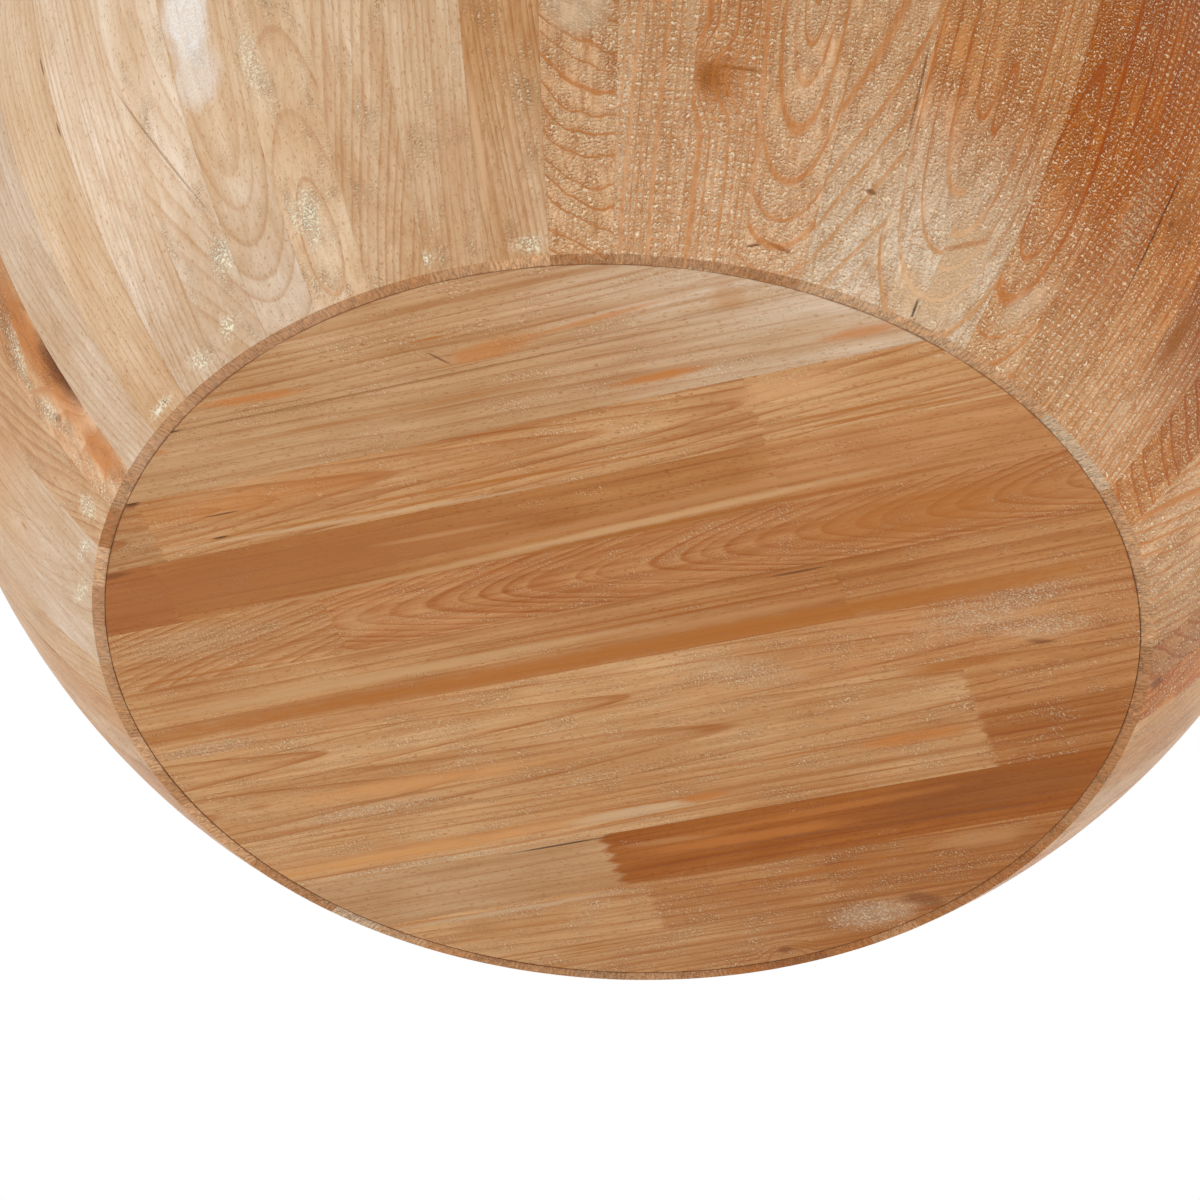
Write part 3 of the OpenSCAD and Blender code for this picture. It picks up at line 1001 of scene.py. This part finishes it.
@dataclass
class DrumWall:
    """The bulging wall: 58 glued strips in 31 staves, turned to one arc inside and out.

    Attributes:
        height: Height of the table.
        belly_radius: Radius at the widest place.
        belly_z: Height of the widest place.
        foot_radius: Radius at the floor.
        thickness: Thickness of the wall.
        mouth_ease: Bevel of the outer edge at the top.
        base_radius: Radius of the rebate for the base panel, and base_depth its depth.
        top_radius: Radius of the rebate for the top panel, and top_depth its depth.
        first_seam: Angle at which stave_01 starts, in degrees.
        units: Width of each stave, in strips.
    """
    height: float = 350.0
    belly_radius: float = 400.0
    belly_z: float = 322.0
    foot_radius: float = 262.0
    thickness: float = 24.0
    mouth_ease: float = 3.0
    base_radius: float = 255.5
    base_depth: float = 20.0
    top_radius: float = 387.1
    top_depth: float = 22.0
    first_seam: float = -173.5
    units: tuple[int, ...] = (1, 2, 2, 3, 1, 1, 2, 1, 2, 2, 1, 3, 2, 1, 2, 2,
                              2, 1, 2, 3, 2, 2, 1, 2, 3, 2, 1, 2, 2, 3, 2)
    finish: BrushedSoftwood = field(default_factory=BrushedSoftwood)

    @property
    def strip_angle(self) -> float:
        """Gives the width of one strip in degrees."""
        return 360 / sum(self.units)

    @property
    def arc_radius(self) -> float:
        """Gives the radius of the wall's outer arc."""
        swell = self.belly_radius - self.foot_radius
        return (self.belly_z ** 2 + swell ** 2) / (2 * swell)

    def radius(self, z: float, depth: float = 0.0) -> float:
        """Gives the wall's radius at a height, on its outer face or at a depth behind it."""
        big = self.arc_radius
        return self.belly_radius - big + math.sqrt((big - depth) ** 2 - (z - self.belly_z) ** 2)

    def section(self) -> tuple[list[Point], int]:
        """Draws the wall's section.

        Returns:
            The closed outline as radius and height, and how many of its points are on the outer arc.
        """
        pitch, coarse, ease, floor_ease = 3.0, 14.0, 0.4, 0.24
        top, shelf = self.height - self.mouth_ease, self.height - self.top_depth
        count = round(top / pitch)
        outline = [(self.radius(0) - floor_ease, 0.0), (self.radius(ease), ease)]
        heights = (ease + (top - ease) * i / count for i in range(1, count + 1))
        outline += [(self.radius(z), z) for z in heights]
        face = len(outline)
        outline += [(self.radius(top) - self.mouth_ease, self.height), (self.top_radius, self.height),
                    (self.top_radius, shelf)]
        steps = round((shelf - self.base_depth) / coarse)
        heights = (shelf + (self.base_depth - shelf) * i / steps for i in range(steps + 1))
        outline += [(self.radius(z, self.thickness), z) for z in heights]
        outline += [(self.base_radius, self.base_depth), (self.base_radius, 0.0)]
        return outline, face

    def strip_frame(self, strip: int) -> PlankFrame:
        """Gives where a strip lies.

        Args:
            strip: Its number from the first seam.

        Returns:
            Its frame, along the chord from the foot to the belly.
        """
        angle = math.radians(self.first_seam + (strip + 0.5) * self.strip_angle)
        outwards = Vector((math.cos(angle), math.sin(angle), 0))
        chord = outwards * (self.belly_radius - self.foot_radius) + Vector((0, 0, self.belly_z))
        across = Vector((-math.sin(angle), math.cos(angle), 0))
        return PlankFrame(outwards * self.foot_radius, across, chord.normalized())

    def on_strip(self, strip: int, mark: Mark) -> Mark:
        """Turns a mark placed in degrees and height into one placed on its strip in mm.

        Args:
            strip: The strip's number.
            mark: The mark as the table has it.

        Returns:
            The mark in the strip's frame.
        """
        angle, radius = math.radians(mark.x), self.radius(mark.y)
        point = Vector((radius * math.cos(angle), radius * math.sin(angle), mark.y))
        spot = self.strip_frame(strip).place(point)
        return replace(mark, x=spot.x, y=spot.y)

    def strip_mesh(self, strip: int, step: float, dents: Callable[[float, float], float]) -> np.ndarray:
        """Builds one strip's vertices.

        Args:
            strip: Its number.
            step: How far its face lies below the turned arc, in mm.
            dents: Depth below the face at degrees and mm of height.

        Returns:
            An array of columns, each with the section's points.
        """
        outline, face = self.section()
        pitch, seam_gap, middle_radius, wave_mm, wave_high = 3.4, 0.02, 330.0, 42.0, 0.12
        low = math.radians(self.first_seam + strip * self.strip_angle)
        span = math.radians(self.strip_angle)
        width = span * middle_radius
        columns = []
        for across in eased_steps(width, pitch):
            edge = min(across, width - across)
            share = across / width
            column = []
            for i, (radius, z) in enumerate(outline):
                gap = seam_gap / radius
                angle = low + gap + (span - 2 * gap) * share
                if 0 < i < face:
                    place = Vector((radius * math.cos(angle), radius * math.sin(angle), z))
                    radius -= (waviness(place, wave_mm, wave_high) + step + ease_drop(edge)
                               + dents(math.degrees(angle), z))
                column.append((radius * math.cos(angle), radius * math.sin(angle), z))
            columns.append(column)
        return np.array(columns)

    def build(self) -> list[bpy.types.Object]:
        """Builds and dresses all the staves.

        Returns:
            The staves, each standing for its CAD node.
        """
        made = []
        strip = 0
        for number, count in enumerate(self.units, start=1):
            points: list[np.ndarray] = []
            faces: list[Sequence[int]] = []
            slots: list[bpy.types.Material] = []
            slot_of_face: list[int] = []
            for part in range(count):
                chosen = wall_strip(strip)
                knots = [m for m in chosen.marks if m.kind is MarkKind.KNOT]
                mesh = self.strip_mesh(strip, chosen.step, partial(knot_depth, knots))
                skin = tube_faces(mesh.shape[0], mesh.shape[1], sum(len(p) for p in points))
                points.append(mesh.reshape(-1, 3))
                faces += skin
                slot_of_face += [part] * len(skin)
                chosen = replace(chosen, marks=tuple(self.on_strip(strip, mark) for mark in chosen.marks))
                slots.append(self.finish.material(f"strip_{strip + 1:02d}", self.strip_frame(strip), chosen,
                                                  self.base_radius))
                strip += 1
            name = f"stave_{number:02d}"
            stave = build_object("dressed_" + name, np.concatenate(points), faces, slots, slot_of_face)
            settle(stave, name)
            made.append(stave)
        return made


def knot_depth(knots: Sequence[Mark], angle: float, z: float) -> float:
    """Gives how far a knot has shrunk below the face at an angle and a height.

    Args:
        knots: The strip's knots.
        angle: Degrees round the drum.
        z: Height in mm.

    Returns:
        The depth in mm.
    """
    mm_per_degree, deepest = 5.0, 0.9
    depth = 0.0
    for knot in knots:
        aside = (angle - knot.x) * mm_per_degree / knot.wide
        up = (z - knot.y) / knot.long
        depth += deepest * math.exp(-(aside ** 2 + up ** 2))
    return depth


# ---- the two round panels


@dataclass
class RoundPanel:
    """A round panel glued up from straight boards.

    Attributes:
        label: Start of its nodes' names.
        slot: The record's material slot; not used.
        radius: Radius of the rebate that it lies in.
        low: Height of its underside.
        high: Height of its upper side.
        count: How many boards it has.
        first_extra: How much wider the first board is than the others.
        turn: Direction of the boards from +X, in degrees.
        shows_below: Whether the underside is the face that is seen.
        rim_gap: Width of the joint round the panel.
    """
    label: str
    slot: str
    radius: float
    low: float
    high: float
    count: int
    first_extra: float
    turn: float
    shows_below: bool
    rim_gap: float = 0.22
    finish: BrushedSoftwood = field(default_factory=BrushedSoftwood)

    def seams(self) -> list[float]:
        """Gives the places of the seams across the panel, with both rims."""
        width = (2 * self.radius - self.first_extra) / self.count
        inner = [self.radius - width * (self.count - k) for k in range(1, self.count)]
        return [-self.radius, *inner, self.radius]

    def frame(self, middle: float) -> PlankFrame:
        """Gives where a board lies.

        Args:
            middle: Place of its middle across the panel, in mm.

        Returns:
            Its frame, on the face that is seen.
        """
        angle = math.radians(self.turn)
        along = Vector((math.cos(angle), math.sin(angle), 0))
        side = Vector((-along.y, along.x, 0))
        level = self.low if self.shows_below else self.high
        return PlankFrame(side * middle + Vector((0, 0, level)), side, along)

    def board_mesh(self, low: float, high: float, step: float) -> np.ndarray:
        """Builds one board's vertices.

        Args:
            low: Its lower seam, across the panel.
            high: Its upper seam.
            step: How far its face lies back from the panel's.

        Returns:
            An array of stations along the board, each with the points of a closed loop.
        """
        pitch, seam_gap, thinnest, wave_mm, wave_high = 3.0, 0.03, 0.04, 38.0, 0.08
        rim = self.radius - self.rim_gap
        start, stop = max(low + seam_gap, -rim + thinnest), min(high - seam_gap, rim - thinnest)
        across = [start + a for a in eased_steps(stop - start, pitch)]
        halves = [math.sqrt(rim ** 2 - v ** 2) for v in across]
        stations = eased_steps(2 * max(halves), pitch)
        whole = stations[-1]
        frame = self.frame(0.0)
        front, rear, inwards = (self.low, self.high, 1) if self.shows_below else (self.high, self.low, -1)
        loops = []
        for s in stations:
            share = 2 * s / whole - 1
            end = min(s, whole - s)
            seen, back = [], []
            for v, half in zip(across, halves):
                place = frame.across * v + frame.along * (share * half)
                fall = (waviness(Vector((place.x, place.y, self.low)), wave_mm, wave_high) + step
                        + ease_drop(min(v - start, stop - v)) + ease_drop(end))
                seen.append((place.x, place.y, front + inwards * fall))
                back.append((place.x, place.y, rear))
            loops.append(seen + back[::-1])
        return np.array(loops)

    def board_faces(self, stations: int, rows: int) -> list[Sequence[int]]:
        """Gives one board's faces, with its two curved ends as strips.

        Args:
            stations: Stations along the board.
            rows: Points across its face.

        Returns:
            The faces, outside out.
        """
        around = 2 * rows
        faces = tube_faces(stations, around)[:-2]
        for first, forward in ((0, False), ((stations - 1) * around, True)):
            for i in range(rows - 1):
                ring = (first + i, first + i + 1, first + around - 2 - i, first + around - 1 - i)
                faces.append(ring if forward else ring[::-1])
        return faces if not self.shows_below else [tuple(reversed(f)) for f in faces]

    def build(self) -> list[bpy.types.Object]:
        """Builds and dresses all the boards.

        Returns:
            The boards, each standing for its CAD node.
        """
        made = []
        for k, (low, high) in enumerate(pairwise(self.seams())):
            chosen = panel_board(self.label, k)
            mesh = self.board_mesh(low, high, chosen.step)
            faces = self.board_faces(mesh.shape[0], mesh.shape[1] // 2)
            middle = (low + high) / 2
            chosen = replace(chosen, marks=tuple(replace(m, x=m.y - middle, y=m.x) for m in chosen.marks))
            name = f"{self.label}_{k + 1:02d}"
            wood = self.finish.material(name, self.frame(middle), chosen, self.radius)
            board = build_object("dressed_" + name, mesh.reshape(-1, 3), faces, [wood])
            settle(board, name)
            made.append(board)
        return made


# ---- what holds the top


@dataclass
class TopBattens:
    """The two cross battens under the top and their screws, which keep their CAD shapes."""
    names: tuple[str, ...] = ("top_batten_left", "top_batten_right")
    screws: str = "batten_screws"
    finish: BrushedSoftwood = field(default_factory=BrushedSoftwood)
    steel: ZincSteel = field(default_factory=ZincSteel)

    def dress(self, nodes: dict[str, bpy.types.Object]) -> None:
        """Gives the battens and the screws their materials.

        Args:
            nodes: The frame's CAD nodes.
        """
        for number, name in enumerate(self.names):
            low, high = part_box(name)
            middle = Vector(((low[0] + high[0]) / 2, (low[1] + high[1]) / 2, low[2])) / MM
            frame = PlankFrame(middle, Vector((1, 0, 0)), Vector((0, 1, 0)))
            plank = Plank(Grain((90, 20), 4.2, 1.4, 40.5 + number, 0.01), Tone(OAT, OAT, 0.8, 0.1, 0.4))
            repaint(nodes[name], self.finish.material(name, frame, plank))
        repaint(nodes[self.screws], self.steel.material())


def repaint(node: bpy.types.Object, material: bpy.types.Material) -> None:
    """Gives all of a CAD node's faces one material.

    Args:
        node: The CAD node's object.
        material: The material.
    """
    if not node.data.materials:
        node.data.materials.append(material)
    for index in range(len(node.data.materials)):
        node.data.materials[index] = material


# ---- the room


@dataclass(frozen=True)
class SoftLamp:
    """A square soft box: its place and aim, its side in metres, its watts, and whether it shines back."""
    name: str
    stands: Triple
    aims: Triple
    side: float
    watts: float
    mirrored: bool = True

    def place(self) -> None:
        """Hangs the lamp."""
        light = bpy.data.lights.new(self.name, "AREA")
        light.shape = "SQUARE"
        light.size = self.side
        light.energy = self.watts
        lamp = bpy.data.objects.new(self.name, light)
        lamp.location = self.stands
        lamp.rotation_euler = (Vector(self.aims) - Vector(self.stands)).to_track_quat("-Z", "Y").to_euler()
        lamp.visible_camera = False
        lamp.visible_glossy = self.mirrored
        bpy.context.collection.objects.link(lamp)


@dataclass
class Studio:
    """The camera below the foot, the soft lamps, the white room and the pale floor.

    Attributes:
        lens_mm: The camera's lens on a 36 mm frame.
        distance: The camera's distance from the foot's centre, in metres.
        below: Degrees that the camera stands below the floor.
        yaw: Degrees that it turns aside, then pitch up or down, then roll.
        daylight: How bright the room is where it is neither seen nor mirrored.
        paint: Colour of the floor's paint, and glow what it sends out by itself.
        clear_floor: How far from the middle, in metres, the floor starts to run into white and is white.
        lamps: The soft boxes.
    """
    lens_mm: float = 108.0
    distance: float = 1.784
    below: float = 42.73
    yaw: float = -0.37
    pitch: float = -0.86
    roll: float = -3.10
    daylight: float = 0.25
    paint: str = "#F4F3F1"
    glow: str = "#8E8D8B"
    clear_floor: Point = (0.7, 2.6)
    lamps: tuple[SoftLamp, ...] = (
        SoftLamp("low_key_left", (-1.7, -1.2, -0.3), (0.0, 0.0, 0.1), 0.7, 3.5, False),
        SoftLamp("low_key_front", (0.7, -2.0, -0.25), (0.0, 0.0, 0.1), 0.7, 8.7, False),
        SoftLamp("low_key_below", (-1.0, -0.6, -1.9), (0.0, 0.0, 0.0), 0.8, 27.3, False),
        SoftLamp("low_fill_right", (1.9, -0.2, -0.75), (0.1, -0.1, 0.1), 0.9, 20.8, False),
        SoftLamp("low_fill_left", (-2.0, 0.4, -0.25), (0.0, 0.0, 0.15), 1.6, 9.8, False),
        SoftLamp("high_key_left", (-1.6, -1.6, 2.3), (0.0, 0.0, 0.2), 1.6, 26.0),
        SoftLamp("high_fill_right", (2.0, 1.2, 1.9), (0.0, 0.0, 0.2), 1.8, 12.0),
        SoftLamp("high_fill_back", (-0.4, 2.6, 1.2), (0.0, 0.2, 0.2), 1.8, 30.0, False),
    )

    def camera(self) -> None:
        """Sets up the camera at the photograph's viewing angle."""
        slope = math.radians(self.below)
        stands = Vector((0, -math.cos(slope), -math.sin(slope))) * self.distance
        forward = -stands.normalized()
        right = forward.cross(Vector((0, 0, 1))).normalized()
        level = Matrix((right, right.cross(forward), -forward))
        turns = ((self.roll, "Z"), (self.pitch, "X"), (self.yaw, "Y"))
        roll, pitch, yaw = (Matrix.Rotation(math.radians(angle), 3, axis) for angle, axis in turns)
        spin = roll @ pitch @ yaw
        data = bpy.data.cameras.new("view_from_below")
        data.lens = self.lens_mm
        data.sensor_width = 36.0
        data.sensor_fit = "HORIZONTAL"
        data.clip_end = 50.0
        eye = bpy.data.objects.new("view_from_below", data)
        eye.matrix_world = Matrix.Translation(stands) @ (spin @ level).transposed().to_4x4()
        bpy.context.collection.objects.link(eye)
        bpy.context.scene.camera = eye

    def room(self) -> None:
        """Makes the room white where it is seen or mirrored, and a plain soft light elsewhere."""
        world = bpy.data.worlds.new("white_room")
        new = partial(add, emptied(world))
        path = new("LightPath").node.outputs
        seen = new("Math MAXIMUM", path["Is Camera Ray"], path["Is Glossy Ray"])
        seen = new("Math MAXIMUM", seen, path["Is Transmission Ray"])
        level = new("MapRange", seen, 0, 1, self.daylight, 1.0)
        new("OutputWorld", new("Background", WHITE, level))
        bpy.context.scene.world = world

    def floor(self) -> None:
        """Lays the floor. Its underside is open, because the photograph looks up from below it."""
        reach = 20.0
        mesh = bpy.data.meshes.new("pale_floor")
        mesh.from_pydata([(-reach, -reach, 0), (reach, -reach, 0), (reach, reach, 0), (-reach, reach, 0)], [],
                         [(0, 1, 2, 3)])
        made = bpy.data.materials.new("matt_white_painted_board")
        new = partial(add, emptied(made))
        # rolled matt paint: no shine, so the floor shows nothing but the table's soft shadow; away from the
        # table it runs into the white of the room, so that no horizon shows
        paint = new("BsdfDiffuse", linear(self.paint))
        glow = new("Emission", linear(self.glow))
        near = new("AddShader", paint, glow)
        white = new("Emission", WHITE)
        away = new("VectorMath LENGTH", new("TexCoord").node.outputs["Object"])
        away = new("MapRange SMOOTHSTEP", away, *self.clear_floor)
        paint = new("MixShader", away, near, white)
        clear = new("BsdfTransparent")
        back = new("NewGeometry").node.outputs["Backfacing"]
        new("OutputMaterial", new("MixShader", back, paint, clear))
        mesh.materials.append(made)
        floor = bpy.data.objects.new("pale_floor", mesh)
        bpy.context.collection.objects.link(floor)
        for ray in ("diffuse", "glossy", "transmission", "volume_scatter", "shadow"):
            setattr(floor, "visible_" + ray, False)

    def build(self) -> None:
        """Builds the whole room."""
        self.camera()
        self.room()
        self.floor()
        for lamp in self.lamps:
            lamp.place()
        bpy.context.scene.view_settings.view_transform = "Standard"


def main() -> None:
    logging.basicConfig(level=logging.INFO, format="%(name)s: %(message)s")
    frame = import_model()
    Studio().build()
    wall = DrumWall().build()
    LOG.info("wall: %d staves", len(wall))
    base = RoundPanel("base_board", "base_wood", radius=255.5, low=0.0, high=20.0, count=12, first_extra=9.0,
                      turn=-19.7, shows_below=True).build()
    LOG.info("base panel: %d boards", len(base))
    top = RoundPanel("top_board", "top_wood", radius=387.1, low=328.0, high=350.0, count=14, first_extra=0.0,
                     turn=0.0, shows_below=False).build()
    LOG.info("top panel: %d boards", len(top))
    TopBattens().dress(frame["nodes"])
    LOG.info("battens and screws dressed")
    for piece in (*wall, *base, *top):
        LOG.info("%s: %d faces", piece.name, len(piece.data.polygons))


if __name__ == "__main__":
    main()
